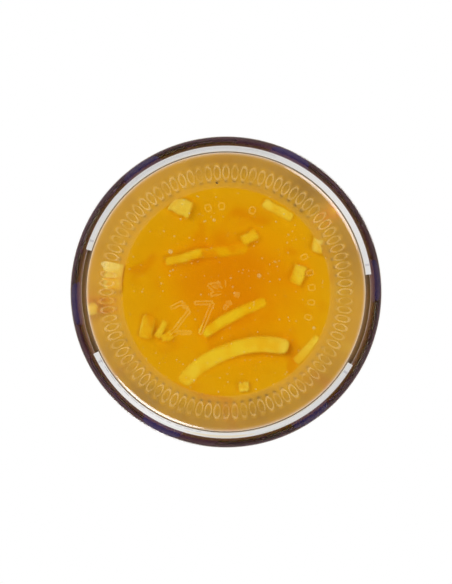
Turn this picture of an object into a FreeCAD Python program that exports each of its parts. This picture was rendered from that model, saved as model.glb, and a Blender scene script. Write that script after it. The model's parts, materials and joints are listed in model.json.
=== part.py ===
"""Marmalade jar: a tapered glass jar on a stippled bearing ring, filled with marmalade,
shut with a six-lug twist-off metal lid, with a front and a back paper label.

Row frame: +Z up the jar's axis, origin at the centre of the plane the jar stands on,
front label towards -Y. Millimetres and degrees.
"""

import FreeCAD, Part

import math
import os

from FreeCAD import Vector

AXIS = Vector(0, 0, 1)
ORIGIN = Vector(0, 0, 0)
smallest = 1e-5  # a shorter edge is left out

# ---- Driving sizes: glass body ----
bearing_radius = 29.7  # middle of the ring that the jar stands on
heel_radius = 5.2  # round between the base and the wall
stipple_height = 0.25  # how far the stipples stand out of the bearing ring
body_taper = 4.0  # the wall's lean, in degrees
body_height = 78.5  # where the tapered wall ends
wall = 2.6
base_glass = 3.2  # glass under the marmalade, at the axis
floor_fall = 0.4  # how much lower the marmalade's floor is at its edge
inner_corner_radius = 7.0

recess_depth = 2.15  # from the bearing ring up to the underside's middle
recess_edge_depth = 1.6  # the same at the recess's rim
recess_slope = 40.0  # lean of the recess's rim, in degrees
recess_round = 1.2

stipple_count = 84
stipple_size = 0.55  # radius of a stipple's round section
stipple_reach = 25.0  # half of a stipple's arc across the ring, in degrees

mark_width = 0.8  # width of an embossed stroke
mark_stand = 0.24  # how far the strokes and dots stand out of the base
dot_size = 0.6
dot_inset = 4.6  # from the recess's rim in to the ring of dots

# ---- Driving sizes: bead and neck ----
neck_radius = 39.0
neck_wall = 2.1
waist_rise = 4.1  # from the tapered wall up to the waist under the bead
waist_height = 0.9
waist_stand = 0.2  # how much wider the waist is than the neck
bead_height = 3.8
bead_stand = 3.0  # how far the bead stands out of the neck
neck_height = 10.7  # from the bead's top to the lip
lip_round = 0.7

thread_starts = 6
thread_size = 1.1  # radius of a thread ridge's section
thread_stand = 1.35  # how far a ridge stands out of the neck
thread_offset = 10.3  # how far a ridge's own centre lies off the axis, which sets its length
thread_lead = 3.6  # lean of a ridge, in degrees
thread_turn = 16.0  # how far round a ridge's middle lies from its lug

# ---- Driving sizes: filling, lid, labels ----
headspace = 10.0  # from the lip down to the marmalade

sheet = 0.25
lid_gap = 0.8  # between the bead and the lid's curl
lid_clearance = 0.75  # between the ridges and the lid's skirt
lid_corner = 1.1
curl_size = 0.5
panel_clearance = 0.3  # between the mouth's edge and the slope down to the lid's panel
panel_drop = 0.9
panel_step = 1.2  # width of the slope from the ring down to the panel
button_radius = 14.0
button_rise = 0.45
button_slope = 2.0
lug_clearance = 0.65  # between a lug's tip and the neck
lug_length = 15.0
lug_height = 1.3
lug_drop = 1.4  # from a ridge's underside, at its middle, to the lug's top
lug_phase = -4.5

label_sheet = 0.12
label_bottom = 14.5
label_height = 38.0
front_label_arc = 125.0
front_label_middle = -87.5
back_label_arc = 156.0
back_label_middle = 95.0

# ---- Sizes that follow ----
lean = math.radians(body_taper)
bearing_height = stipple_height
heel_centre_height = bearing_height + heel_radius
heel_corner = bearing_radius + heel_radius * math.tan((math.pi / 2 - lean) / 2)
recess_lean = math.radians(recess_slope)
recess_corner = bearing_radius - heel_radius * math.tan(recess_lean / 2)
recess_edge = recess_corner - recess_edge_depth / math.tan(recess_lean)
push_up = bearing_height + recess_depth
push_up_edge = bearing_height + recess_edge_depth
dot_ring = recess_edge - dot_inset
cavity_floor = push_up + base_glass

mouth_radius = neck_radius - neck_wall
waist_radius = neck_radius + waist_stand
bead_radius = neck_radius + bead_stand
waist_bottom = body_height + waist_rise
bead_bottom = waist_bottom + waist_height
bead_top = bead_bottom + bead_height
lip_height = bead_top + neck_height
fill_height = lip_height - headspace

lid_radius = neck_radius + thread_stand + lid_clearance + sheet
lid_bottom = bead_top + lid_gap
lid_top = lip_height + sheet
lug_inner = neck_radius + lug_clearance
thread_height = lid_bottom + lug_height + lug_drop + thread_size
label_top = label_bottom + label_height


def body_radius(height):
    """Outer radius of the tapered wall at a height."""
    return heel_corner + (height - bearing_height) * math.tan(lean)


def underside(radius):
    """Height of the recessed base's underside at a radius."""
    return push_up + (push_up_edge - push_up) * radius / recess_edge


# ---- Ways of making shapes ----
def point(corner):
    return Vector(corner[0], 0, corner[1])


def rounded_path(corners):
    """Edges through (r, z) corners in the XZ plane; a third value rounds a corner by an arc."""
    edges = []
    last = point(corners[0])

    def straight_to(spot):
        if last.distanceToPoint(spot) > smallest:
            edges.append(Part.LineSegment(last, spot).toShape())

    for before, here, after in zip(corners, corners[1:], corners[2:]):
        spot = point(here)
        inward = (point(before) - spot).normalize()
        outward = (point(after) - spot).normalize()
        half = inward.getAngle(outward) / 2
        rounding = here[2] if len(here) > 2 else 0
        reach = rounding / math.tan(half)
        if reach > smallest:
            start = spot + inward * reach
            end = spot + outward * reach
            middle_way = (inward + outward).normalize()
            centre = spot + middle_way * (rounding / math.sin(half))
            top = centre - middle_way * rounding
            straight_to(start)
            edges.append(Part.Arc(start, top, end).toShape())
            last = end
        else:
            straight_to(spot)
            last = spot
    straight_to(point(corners[-1]))
    return edges


def turned(corners):
    """Solid of revolution of a closed outline whose first and last corners lie on the axis."""
    edges = rounded_path(corners)
    edges.append(Part.LineSegment(point(corners[-1]), point(corners[0])).toShape())
    return Part.Face(Part.Wire(edges)).revolve(ORIGIN, AXIS, 360)


def turned_ring(corners, start=0.0, sweep=360.0):
    """The same for a closed outline that is clear of the axis."""
    spots = [point(c) for c in corners]
    face = Part.Face(Part.makePolygon(spots + spots[:1]))
    face.rotate(ORIGIN, AXIS, start)
    return face.revolve(ORIGIN, AXIS, sweep)


def spun(shape, angle):
    copy = shape.copy()
    copy.rotate(ORIGIN, AXIS, angle)
    return copy


def bar_between(start, end, width, height):
    """A level bar from start to end, carried half its width past both, rising by height."""
    along = end - start
    bar = Part.makeBox(along.Length + width, width, height, Vector(-width / 2, -width / 2, 0))
    bar.rotate(ORIGIN, AXIS, math.degrees(math.atan2(along.y, along.x)))
    bar.translate(start)
    return bar


# ---- Glass ----
def glass_outside():
    bead_round = bead_height * 0.45
    return turned([
        (0, push_up),
        (recess_edge, push_up_edge, recess_round),
        (recess_corner, bearing_height, heel_radius),
        (heel_corner, bearing_height, heel_radius),
        (body_radius(body_height), body_height, 3.0),
        (waist_radius, waist_bottom, 0.8),
        (waist_radius, bead_bottom, 0.3),
        (bead_radius, bead_bottom, bead_round),
        (bead_radius, bead_top, bead_round),
        (neck_radius, bead_top, 0.6),
        (neck_radius, lip_height, lip_round),
        (0, lip_height),
    ])


def cavity():
    """The space inside the glass, carried on past the mouth."""
    inset = wall / math.cos(lean)
    past_mouth = lip_height + wall
    return turned([
        (0, cavity_floor),
        (body_radius(cavity_floor) - inset, cavity_floor - floor_fall, inner_corner_radius),
        (body_radius(body_height) - inset, body_height, 3.0),
        (mouth_radius, waist_bottom, 3.0),
        (mouth_radius, past_mouth),
        (0, past_mouth),
    ])


def stipple():
    """One radial bar of the bearing ring, bent to the ring's own round."""
    centre = Vector(bearing_radius, 0, heel_centre_height)
    bend = heel_radius + stipple_height - stipple_size
    lowest = centre - AXIS * bend
    section = Part.Face(Part.Wire(Part.makeCircle(stipple_size, lowest, Vector(1, 0, 0))))
    tangent = Vector(0, 1, 0)
    section.rotate(centre, tangent, -stipple_reach)
    bar = section.revolve(centre, tangent, 2 * stipple_reach)
    ends = []
    for turn in (-stipple_reach, stipple_reach):
        end = Part.makeSphere(stipple_size, lowest)
        end.rotate(centre, tangent, turn)
        ends.append(end)
    return bar.multiFuse(ends)


def stipples():
    bar = stipple()
    return [spun(bar, 360.0 * n / stipple_count) for n in range(stipple_count)]


def threads():
    """Short leaning ridges that fade into the neck at both ends, one above each lug."""
    peak = neck_radius + thread_stand
    sweep_radius = peak - thread_offset - thread_size
    centre = Vector(thread_offset, 0, thread_height)
    ring = Part.makeTorus(sweep_radius, thread_size, centre, AXIS)
    ridge = ring.cut(Part.makeCylinder(neck_radius - 0.8, lip_height))
    ridge.rotate(Vector(0, 0, thread_height), Vector(1, 0, 0), thread_lead)
    step = 360.0 / thread_starts
    return [spun(ridge, lug_phase + thread_turn + step * n) for n in range(thread_starts)]


# Plain mould numbers as strokes on a unit-high cell: u to the right, v up, as read from below.
numerals = {
    "1": [((0.3, 0.0), (0.3, 1.0))],
    "2": [((0.0, 0.84), (0.3, 1.0)), ((0.3, 1.0), (0.58, 0.74)), ((0.58, 0.74), (0.0, 0.0)),
          ((0.0, 0.0), (0.6, 0.0))],
    "4": [((0.42, 0.0), (0.42, 1.0)), ((0.42, 1.0), (0.0, 0.32)), ((0.0, 0.32), (0.6, 0.32))],
    "7": [((0.0, 1.0), (0.55, 1.0)), ((0.55, 1.0), (0.15, 0.0))],
}
# (numeral, middle u, middle v, height, turn in degrees), u towards -X and v towards +Y
base_marks = [
    ("2", -11.2, -6.4, 7.4, 0.0),
    ("7", -5.2, -6.4, 7.4, 0.0),
    ("4", -2.4, 1.2, 4.8, -45.0),
    ("1", 1.4, -2.2, 4.8, -45.0),
]
# Mould dots on their ring, by angle as read from below, from the right anticlockwise.
dot_angles = [-17, -7, 3, 13, 24, 72, 93, 102]


def base_numbers():
    bars = []
    for numeral, u_middle, v_middle, height, turn in base_marks:
        turn_cos = math.cos(math.radians(turn))
        turn_sin = math.sin(math.radians(turn))
        foot = underside(math.hypot(u_middle, v_middle)) - mark_stand
        for stroke_ends in numerals[numeral]:
            spots = []
            for u, v in stroke_ends:
                across = (u - 0.3) * height
                up = (v - 0.5) * height
                x = -(u_middle + across * turn_cos - up * turn_sin)
                y = v_middle + across * turn_sin + up * turn_cos
                spots.append(Vector(x, y, foot))
            bars.append(bar_between(spots[0], spots[1], mark_width, 4 * mark_stand))
    return bars


def base_dots():
    height = underside(dot_ring) + dot_size - mark_stand
    dot = Part.makeSphere(dot_size, Vector(-dot_ring, 0, height))
    return [spun(dot, -angle) for angle in dot_angles]


def make_glass():
    shell = glass_outside().multiFuse(stipples() + threads() + base_numbers() + base_dots())
    glass = shell.cut(cavity())
    return glass.removeSplitter()


# ---- Marmalade ----
def make_marmalade():
    """The cavity filled up to the level."""
    widest = body_radius(fill_height)
    return cavity().common(Part.makeCylinder(widest + neck_radius, fill_height))


# ---- Lid ----
def lid_body(inset, bottom):
    """The lid's outside moved in by an inset and filled down to a height."""
    ring_inner = mouth_radius - panel_clearance
    panel = lid_top - panel_drop - inset
    rim = lid_radius - inset
    return turned([
        (0, panel + button_rise),
        (button_radius, panel + button_rise, 1.5),
        (button_radius + button_slope, panel, 1.5),
        (ring_inner - panel_step, panel, 0.8),
        (ring_inner, lid_top - inset, 0.8),
        (rim, lid_top - inset, lid_corner - inset),
        (rim, bottom),
        (0, bottom),
    ])


def lug():
    """A length of the lid's curl pressed inwards, under a thread ridge."""
    outer = lid_radius - sheet / 5
    middle = (lug_inner + outer) / 2
    half_width = (outer - lug_inner) / 2
    oval = Part.Ellipse(Vector(middle, 0, lid_bottom), lug_length / 2, half_width)
    oval.XAxis = Vector(0, 1, 0)
    pressed = Part.Face(Part.Wire(oval.toShape())).extrude(AXIS * lug_height)
    return pressed.common(Part.makeCylinder(outer, lid_top))


def make_lid():
    cap = lid_body(0, lid_bottom + curl_size).cut(lid_body(sheet, lid_bottom))
    curl_middle = Vector(0, 0, lid_bottom + curl_size)
    curl = Part.makeTorus(lid_radius - curl_size, curl_size, curl_middle, AXIS)
    step = 360.0 / thread_starts
    lugs = [spun(lug(), lug_phase + step * n) for n in range(thread_starts)]
    return cap.multiFuse([curl] + lugs).removeSplitter()


# ---- Labels ----
def make_label(arc, middle):
    """A paper label wrapped on the tapered wall."""
    outline = [
        (body_radius(label_bottom), label_bottom),
        (body_radius(label_bottom) + label_sheet, label_bottom),
        (body_radius(label_top) + label_sheet, label_top),
        (body_radius(label_top), label_top),
    ]
    return turned_ring(outline, middle - arc / 2, arc)


nodes = {
    "jar_glass": make_glass(),
    "marmalade": make_marmalade(),
    "lid": make_lid(),
    "label_front": make_label(front_label_arc, front_label_middle),
    "label_back": make_label(back_label_arc, back_label_middle),
}

os.makedirs("parts", exist_ok=True)
for name, solid in nodes.items():
    solid.exportStep(f"parts/{name}.step")
    print(name, "valid", solid.isValid(), "solids", len(solid.Solids),
          "faces", len(solid.Faces), "volume", round(solid.Volume, 1))
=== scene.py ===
import json
import math
import random

import bmesh
import bpy
from mathutils import Euler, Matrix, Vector

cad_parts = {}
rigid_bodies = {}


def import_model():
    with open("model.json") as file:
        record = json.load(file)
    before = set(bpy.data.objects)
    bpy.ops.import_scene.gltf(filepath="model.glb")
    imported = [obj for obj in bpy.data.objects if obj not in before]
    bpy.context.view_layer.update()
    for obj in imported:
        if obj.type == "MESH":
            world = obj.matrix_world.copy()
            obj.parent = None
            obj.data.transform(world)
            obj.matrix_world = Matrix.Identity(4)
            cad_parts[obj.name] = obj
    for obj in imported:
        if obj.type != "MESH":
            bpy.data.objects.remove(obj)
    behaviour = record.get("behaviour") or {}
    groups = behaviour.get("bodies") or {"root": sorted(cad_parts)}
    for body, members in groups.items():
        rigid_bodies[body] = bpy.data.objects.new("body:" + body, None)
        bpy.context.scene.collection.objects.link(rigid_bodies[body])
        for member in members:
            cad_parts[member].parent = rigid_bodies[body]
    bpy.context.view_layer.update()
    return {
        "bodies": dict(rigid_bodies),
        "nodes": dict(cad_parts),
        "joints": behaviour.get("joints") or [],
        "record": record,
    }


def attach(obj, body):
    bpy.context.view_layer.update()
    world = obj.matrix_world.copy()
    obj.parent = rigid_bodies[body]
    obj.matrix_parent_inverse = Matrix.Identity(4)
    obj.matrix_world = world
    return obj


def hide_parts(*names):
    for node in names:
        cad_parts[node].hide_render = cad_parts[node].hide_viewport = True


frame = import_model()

mm = 0.001
fullTurn = 2 * math.pi
upright = (0, 0, 1)
print("frame loaded")


def letGo():
    if bpy.context.object and bpy.context.object.mode != "OBJECT":
        bpy.ops.object.mode_set(mode="OBJECT")
    bpy.ops.object.select_all(action="DESELECT")


def pickOnly(piece):
    letGo()
    piece.select_set(True)
    bpy.context.view_layer.objects.active = piece


def editPiece(piece):
    pickOnly(piece)
    bpy.ops.object.mode_set(mode="EDIT")
    bpy.context.tool_settings.mesh_select_mode = (True, False, False)


# selects the vertices for which the test holds; the piece is in edit mode
def pickVertices(test):
    bpy.ops.mesh.select_all(action="DESELECT")
    mesh = bmesh.from_edit_mesh(bpy.context.object.data)
    for vert in mesh.verts:
        vert.select = test(vert.co)
    mesh.select_flush_mode()
    bmesh.update_edit_mesh(bpy.context.object.data)


def pushSoftly(value, reach, falloff="SMOOTH"):
    bpy.ops.transform.translate(value=value, use_proportional_edit=True,
                                proportional_edit_falloff=falloff, proportional_size=reach)


def settle(piece):
    pickOnly(piece)
    bpy.ops.object.transform_apply(location=True, rotation=True, scale=True)


def smooth(piece, degrees):
    pickOnly(piece)
    bpy.ops.object.shade_smooth_by_angle(angle=math.radians(degrees))


def applyModifier(piece, kind, **settings):
    pickOnly(piece)
    modifier = piece.modifiers.new(kind.lower(), kind)
    for key, value in settings.items():
        setattr(modifier, key, value)
    bpy.ops.object.modifier_apply(modifier=modifier.name)


def joinPieces(pieces, name):
    letGo()
    for piece in pieces:
        piece.select_set(True)
    bpy.context.view_layer.objects.active = pieces[0]
    bpy.ops.object.join()
    joined = bpy.context.object
    joined.name = joined.data.name = name
    settle(joined)
    return joined


# corners are (r, z), (r, z, rounding) or (r, z, rounding, steps) in mm; gives points in metres
def roundedOutline(corners):
    spots = [Vector((c[0], 0, c[1])) for c in corners]
    points = [spots[0]]
    for n in range(1, len(corners) - 1):
        spot = spots[n]
        rounding = corners[n][2] if len(corners[n]) > 2 else 0
        if not rounding:
            points.append(spot)
            continue
        inward = (spots[n - 1] - spot).normalized()
        outward = (spots[n + 1] - spot).normalized()
        half = inward.angle(outward) / 2
        centre = spot + (inward + outward).normalized() * rounding / math.sin(half)
        start = spot + inward * rounding / math.tan(half) - centre
        end = spot + outward * rounding / math.tan(half) - centre
        steps = corners[n][3] if len(corners[n]) > 3 else max(2, round(math.degrees(start.angle(end)) / 12))
        points += [centre + start.slerp(end, step / steps) * rounding for step in range(steps + 1)]
    points.append(spots[-1])
    return [p * mm for n, p in enumerate(points) if n == 0 or (p - points[n - 1]).length > 0.001]


# draws a chain of edges through the points and spins it into a skin
def spinOutline(name, points, steps, degrees=360, start=0.0):
    letGo()
    bpy.ops.mesh.primitive_plane_add(size=mm, location=points[0])
    piece = bpy.context.object
    piece.name = piece.data.name = name
    editPiece(piece)
    bpy.ops.mesh.select_all(action="SELECT")
    bpy.ops.mesh.merge(type="CENTER")
    for here, after in zip(points, points[1:]):
        bpy.ops.mesh.extrude_region_move(TRANSFORM_OT_translate={"value": after - here})
    bpy.ops.mesh.select_all(action="SELECT")
    bpy.ops.mesh.spin(steps=steps, angle=math.radians(degrees), center=(0, 0, 0), axis=upright)
    bpy.ops.mesh.select_all(action="SELECT")
    bpy.ops.mesh.remove_doubles(threshold=0.002 * mm)
    bpy.ops.mesh.normals_make_consistent(inside=False)
    bpy.ops.object.mode_set(mode="OBJECT")
    settle(piece)
    piece.rotation_euler.z = math.radians(start)
    settle(piece)
    return piece


def awayFromAxis(spot):
    return math.hypot(spot.x, spot.y)


# how far round the axis a spot lies, in degrees from -180 to 180, counted from a middle
def turnFrom(spot, middle):
    turn = math.degrees(math.atan2(spot.y, spot.x)) - middle
    return (turn + 180) % 360 - 180


class Nodes:
    def __init__(self, tree):
        self.tree = tree
        self.tree.nodes.clear()

    def add(self, kind, settings=None, **inputs):
        node = self.tree.nodes.new(kind)
        for key, value in (settings or {}).items():
            setattr(node, key, value)
        for key, value in inputs.items():
            self.feed(node, key, value)
        return node

    # a value is a number, a colour, an output socket, or a node whose first output is meant
    def feed(self, node, key, value):
        slot = node.inputs[int(key[1:])] if key[0] == "i" and key[1:].isdigit() else node.inputs[key]
        if isinstance(value, bpy.types.Node):
            value = value.outputs[0]
        if isinstance(value, bpy.types.NodeSocket):
            self.tree.links.new(value, slot)
        else:
            slot.default_value = value

    def maths(self, operation, first, second=0.0, clamp=False):
        settings = {"operation": operation, "use_clamp": clamp}
        return self.add("ShaderNodeMath", settings, i0=first, i1=second)

    # how far two lengths at right angles reach together
    def reach(self, first, second):
        squares = [self.maths("MULTIPLY", length, length) for length in (first, second)]
        return self.maths("SQRT", self.maths("ADD", *squares))

    def between(self, value, low, high, toLow=0.0, toHigh=1.0):
        node = self.add("ShaderNodeMapRange", {"interpolation_type": "SMOOTHSTEP"}, Value=value)
        for key, number in zip(("From Min", "From Max", "To Min", "To Max"), (low, high, toLow, toHigh)):
            node.inputs[key].default_value = number
        return node

    def mix(self, share, first, second):
        return self.add("ShaderNodeMix", {"data_type": "RGBA"}, i0=share, i6=first, i7=second).outputs[2]

    def ramp(self, value, *stops):
        node = self.add("ShaderNodeValToRGB", Fac=value)
        while len(node.color_ramp.elements) < len(stops):
            node.color_ramp.elements.new(0.5)
        for element, (place, colour) in zip(node.color_ramp.elements, stops):
            element.position = place
            element.color = colour
        return node


# an sRGB colour as the eye reads it, 0 to 255, made linear
def paint(red, green, blue):
    def linear(level):
        share = level / 255
        return share / 12.92 if share <= 0.04045 else ((share + 0.055) / 1.055) ** 2.4
    return (linear(red), linear(green), linear(blue), 1.0)


def newMaterial(name):
    material = bpy.data.materials.new(name)
    material.use_nodes = True
    return material, Nodes(material.node_tree)


def noiseOn(nodes, place, scale, detail=3.0, roughness=0.55, distortion=0.0):
    return nodes.add("ShaderNodeTexNoise", None, Vector=place, Scale=scale, Detail=detail,
                     Roughness=roughness, Distortion=distortion)


# shared effect: a slow waver and a fine grain, as height and as a mask
def makeUnevenGroup():
    group = bpy.data.node_groups.new("unevenSkin", "ShaderNodeTree")
    nodes = Nodes(group)
    for name, kind in (("Place", "NodeSocketVector"), ("Wave Scale", "NodeSocketFloat"),
                       ("Grain Scale", "NodeSocketFloat"), ("Grain Share", "NodeSocketFloat")):
        group.interface.new_socket(name, in_out="INPUT", socket_type=kind)
    for name in ("Height", "Mask"):
        group.interface.new_socket(name, in_out="OUTPUT", socket_type="NodeSocketFloat")
    given = nodes.add("NodeGroupInput")
    wave = noiseOn(nodes, given.outputs["Place"], 1.0, 2.0)
    nodes.feed(wave, "Scale", given.outputs["Wave Scale"])
    grain = noiseOn(nodes, given.outputs["Place"], 1.0, 4.0)
    nodes.feed(grain, "Scale", given.outputs["Grain Scale"])
    grainHeight = nodes.maths("MULTIPLY", grain, given.outputs["Grain Share"])
    height = nodes.maths("ADD", wave, grainHeight)
    mask = nodes.between(wave, 0.35, 0.65)
    result = nodes.add("NodeGroupOutput")
    nodes.feed(result, "Height", height)
    nodes.feed(result, "Mask", mask)
    return group


unevenGroup = makeUnevenGroup()


def unevenOn(nodes, place, wave, grain, share):
    node = nodes.add("ShaderNodeGroup", {"node_tree": unevenGroup}, Place=place)
    node.inputs["Wave Scale"].default_value = wave
    node.inputs["Grain Scale"].default_value = grain
    node.inputs["Grain Share"].default_value = share
    return node


def bumpFrom(nodes, height, strength, distance):
    return nodes.add("ShaderNodeBump", None, Strength=strength, Distance=distance, Height=height)


# clear stuff that lamps and soft light reach through without being bent
def finishClear(nodes, body, tint):
    path = nodes.add("ShaderNodeLightPath")
    lampOrSoft = nodes.maths("MAXIMUM", path.outputs["Is Shadow Ray"], path.outputs["Is Diffuse Ray"])
    through = nodes.add("ShaderNodeBsdfTransparent", None, Color=tint)
    both = nodes.add("ShaderNodeMixShader", None, i0=lampOrSoft, i1=body, i2=through)
    return nodes.add("ShaderNodeOutputMaterial", None, Surface=both)


# a solid finish: roughness and specular may be numbers or sockets
def finishSolid(nodes, colour, roughness, bump=None, specular=0.5):
    body = nodes.add("ShaderNodeBsdfPrincipled")
    nodes.feed(body, "Base Color", colour)
    nodes.feed(body, "Roughness", roughness)
    nodes.feed(body, "Specular IOR Level", specular)
    if bump is not None:
        nodes.feed(body, "Normal", bump)
    nodes.add("ShaderNodeOutputMaterial", None, Surface=body)
    return body


glassFinish = {
    "ior": 1.5, "colour": paint(250, 253, 251), "shadowTint": (0.98, 0.985, 0.98, 1),
    "waves": 90.0, "grain": 900.0, "grainShare": 0.03, "waveStrength": 0.35, "waveHeight": 0.012 * mm,
    # marks is the colour of the highlights painted on the slopes of the mould marks
    "marks": paint(255, 212, 96), "marksPatches": 900.0, "marksLeast": 0.1, "marksMost": 0.28,
    # the colour on the next line is the colour of the highlights painted on the knurl rims and of the painted
    # reflection over the bearing ring
    "wearAndGlint": paint(255, 216, 146), "glintPatches": 260.0, "glintRim": 0.42, "paintedHaze": 0.05,
    "knurls": 84, "knurlRing": 29.75 * mm, "knurlHalfLength": 1.95 * mm, "knurlHalfWidth": 0.42,
    "knurlRim": 0.84,
}


# clear glass with a slow waver; glass that the jelly wets throws nothing back; a glint function gives the
# share and the colour of a pale matt layer painted on as highlights
def makeGlassMaterial(name, wet=False, paintGlint=None):
    f = glassFinish
    material, nodes = newMaterial(name)
    place = nodes.add("ShaderNodeTexCoord").outputs["Object"]
    uneven = unevenOn(nodes, place, f["waves"], f["grain"], f["grainShare"])
    bump = bumpFrom(nodes, uneven.outputs["Height"], f["waveStrength"], f["waveHeight"])
    body = nodes.add("ShaderNodeBsdfPrincipled", None, Normal=bump)
    body.inputs["Base Color"].default_value = f["colour"]
    body.inputs["Roughness"].default_value = 0.0
    body.inputs["IOR"].default_value = f["ior"]
    body.inputs["Transmission Weight"].default_value = 1.0
    if wet:
        body.inputs["Specular Tint"].default_value = (0, 0, 0, 1)
    out = finishClear(nodes, body, f["shadowTint"])
    if paintGlint:
        share, colour = paintGlint(nodes, place)
        clear = out.inputs["Surface"].links[0].from_node
        paintedGlint = nodes.add("ShaderNodeBsdfDiffuse", None, Color=colour)
        both = nodes.add("ShaderNodeMixShader", None, i0=share, i1=clear, i2=paintedGlint)
        nodes.feed(out, "Surface", both)
    return material


# the slopes of the mould marks get highlights painted on in patches, pale where they would catch light
def markGlints(nodes, place):
    f = glassFinish
    patchy = noiseOn(nodes, place, f["marksPatches"], 3.0, 0.7)
    return nodes.between(patchy, 0.3, 0.65, f["marksLeast"], f["marksMost"]), f["marks"]


# the bearing ring: each knurl gets a pale highlight painted along its rim, and a faint pale layer painted over
# the ring stands in for the reflection of the bright surroundings
def knurlGlints(nodes, place):
    f = glassFinish
    split = nodes.add("ShaderNodeSeparateXYZ", None, Vector=place)
    away = nodes.reach(split.outputs[0], split.outputs[1])
    turn = nodes.maths("ARCTAN2", split.outputs[1], split.outputs[0])
    around = nodes.maths("MULTIPLY", turn, f["knurls"] / fullTurn)
    cell = nodes.maths("SUBTRACT", nodes.maths("FRACT", nodes.maths("ADD", around, 0.5)), 0.5)
    sideways = nodes.maths("DIVIDE", cell, f["knurlHalfWidth"])
    outer = nodes.maths("DIVIDE", nodes.maths("SUBTRACT", away, f["knurlRing"]), f["knurlHalfLength"])
    offRim = nodes.maths("ABSOLUTE", nodes.maths("SUBTRACT", nodes.reach(sideways, outer), f["knurlRim"]))
    rim = nodes.between(offRim, 0.03, 0.3, f["glintRim"], 0.0)
    patchy = noiseOn(nodes, place, f["glintPatches"], 3.0, 0.7)
    rim = nodes.maths("MULTIPLY", rim, nodes.between(patchy, 0.3, 0.65, 0.25, 1.0))
    haze = nodes.between(nodes.maths("ABSOLUTE", outer), 0.7, 1.5, f["paintedHaze"], 0.0)
    return nodes.maths("MAXIMUM", rim, haze), f["wearAndGlint"]


jellyFinish = {
    "ior": 1.4, "haze": 0.36, "colour": paint(255, 250, 235), "shadowTint": (1, 0.97, 0.9, 1),
    "swallowed": (0.994, 0.95, 0.05, 1), "density": 200.0, "waves": 110.0, "grain": 700.0, "grainShare": 0.1,
    "waveStrength": 0.2, "waveHeight": 0.1 * mm,
}


def makeJellyMaterial():
    f = jellyFinish
    material, nodes = newMaterial("orangeJelly")
    place = nodes.add("ShaderNodeTexCoord").outputs["Object"]
    uneven = unevenOn(nodes, place, f["waves"], f["grain"], f["grainShare"])
    bump = bumpFrom(nodes, uneven.outputs["Height"], f["waveStrength"], f["waveHeight"])
    body = nodes.add("ShaderNodeBsdfPrincipled", None, Normal=bump)
    body.inputs["Base Color"].default_value = f["colour"]
    body.inputs["Roughness"].default_value = f["haze"]
    body.inputs["IOR"].default_value = f["ior"]
    body.inputs["Transmission Weight"].default_value = 1.0
    body.inputs["Specular Tint"].default_value = (0, 0, 0, 1)
    out = finishClear(nodes, body, f["shadowTint"])
    soak = nodes.add("ShaderNodeVolumeAbsorption")
    soak.inputs["Color"].default_value = f["swallowed"]
    soak.inputs["Density"].default_value = f["density"]
    nodes.feed(out, "Volume", soak)
    return material


pulpFinish = {
    "rings": ((0.0, paint(238, 154, 8)), (0.3, paint(242, 166, 8)), (0.65, paint(245, 180, 14)),
              (1.0, paint(241, 180, 24))),
    "ringsFrom": 1 * mm, "ringsTo": 27 * mm, "deepSpot": (-1.0 * mm, 3.0 * mm), "drift": 20 * mm,
    "pale": paint(255, 200, 44), "paleShare": 0.3, "deep": paint(226, 120, 4), "deepShare": 0.4,
    "side": paint(255, 164, 16), "sideShare": 0.55, "sideFrom": 13 * mm, "sideTo": 15 * mm,
    "roughness": 0.6, "specular": 0.1, "bumpStrength": 0.5, "bumpHeight": 0.6 * mm,
}


# deepest in colour near the middle of the base and paler outwards, a painted light as if light came in near
# the heel; the sides are painted brighter too; with pale streaks and deep patches
def makePulpMaterial():
    f = pulpFinish
    material, nodes = newMaterial("orangePulp")
    place = nodes.add("ShaderNodeTexCoord").outputs["Object"]
    split = nodes.add("ShaderNodeSeparateXYZ", None, Vector=place)
    fromSpot = nodes.reach(*(nodes.maths("SUBTRACT", split.outputs[n], f["deepSpot"][n]) for n in (0, 1)))
    patches = noiseOn(nodes, place, 55.0, 2.0, 0.5, 0.6)
    shift = nodes.maths("MULTIPLY", nodes.maths("SUBTRACT", patches, 0.5), f["drift"])
    # painted light: the colour gets paler outwards from a spot near the middle of the base
    outwards = nodes.between(nodes.maths("ADD", fromSpot, shift), f["ringsFrom"], f["ringsTo"])
    rings = nodes.ramp(outwards, *f["rings"])
    streaks = noiseOn(nodes, place, 190.0, 4.0, 0.6, 1.2)
    colour = nodes.mix(nodes.between(streaks, 0.52, 0.72, 0.0, f["paleShare"]), rings, f["pale"])
    deep = noiseOn(nodes, place, 95.0, 2.0, 0.5, 0.8)
    colour = nodes.mix(nodes.between(deep, 0.55, 0.75, 0.0, f["deepShare"]), colour, f["deep"])
    # painted light: the pulp's sides are painted brighter from 13 to 15 mm up
    onSide = nodes.between(split.outputs[2], f["sideFrom"], f["sideTo"], 0.0, f["sideShare"])
    colour = nodes.mix(onSide, colour, f["side"])
    bump = bumpFrom(nodes, streaks, f["bumpStrength"], f["bumpHeight"])
    finishSolid(nodes, colour, f["roughness"], bump, f["specular"])
    return material


peelFinish = {"waves": 260.0, "grain": 1500.0, "grainShare": 0.4, "pits": 0.7, "pitReach": 0.35,
              "roughness": 0.5, "specular": 0.1, "bumpStrength": 0.6, "bumpHeight": 0.2 * mm}


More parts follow.
